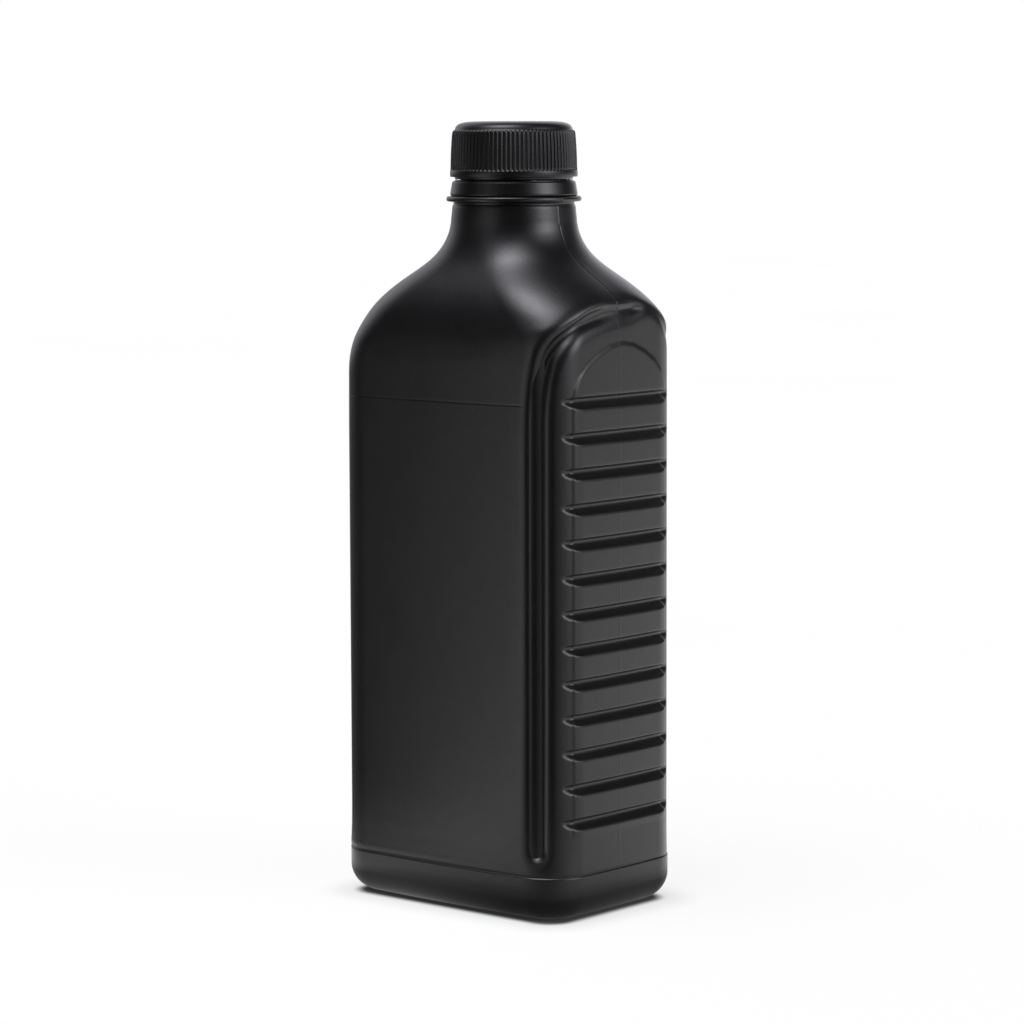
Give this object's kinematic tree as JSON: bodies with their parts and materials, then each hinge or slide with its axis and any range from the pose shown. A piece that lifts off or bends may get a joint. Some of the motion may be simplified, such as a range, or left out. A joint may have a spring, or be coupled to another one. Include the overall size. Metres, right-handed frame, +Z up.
{
  "type": "oil bottle",
  "caption": "Blow-moulded rectangular oil bottle with rounded shoulders, offset round neck, ribbed screw cap over a tamper ring, and a narrow side with stepped grip grooves framed by an arched channel.",
  "frame": {"origin": "on the ground, at the middle of the base footprint; the neck axis stands 3.2 mm towards +X", "axes": "+Z up; +X the narrow side with the grip grooves; -Y and +Y the broad label faces"},
  "size_m": [0.0926, 0.0646, 0.2409],
  "materials": {
    "shell_plastic": "satin black polyethylene, as blown",
    "cap_plastic": "satin black moulded cap",
    "liner_foam": "off-white foam wad"
  },
  "bodies": {
    "shell": {"bottle": "shell_plastic", "tamper_ring": "cap_plastic"},
    "wad_carrier": {"cap_liner": "liner_foam"},
    "cap": {"screw_cap": "cap_plastic"}
  },
  "joints": [
    {"name": "cap_lift", "type": "slide", "parent": "shell", "child": "wad_carrier", "axis": [0, 0, 1], "range_m": [0, 0.0081]},
    {"name": "cap_turn", "type": "hinge", "parent": "wad_carrier", "child": "cap", "pos_m": [0.0032, 0, 0.231], "axis": [0, 0, 1], "range_deg": [0, 720]}
  ],
  "couplings": [
    {"joint": "cap_lift", "follows": "cap_turn", "m_per_rad": 0.00063662}
  ]
}
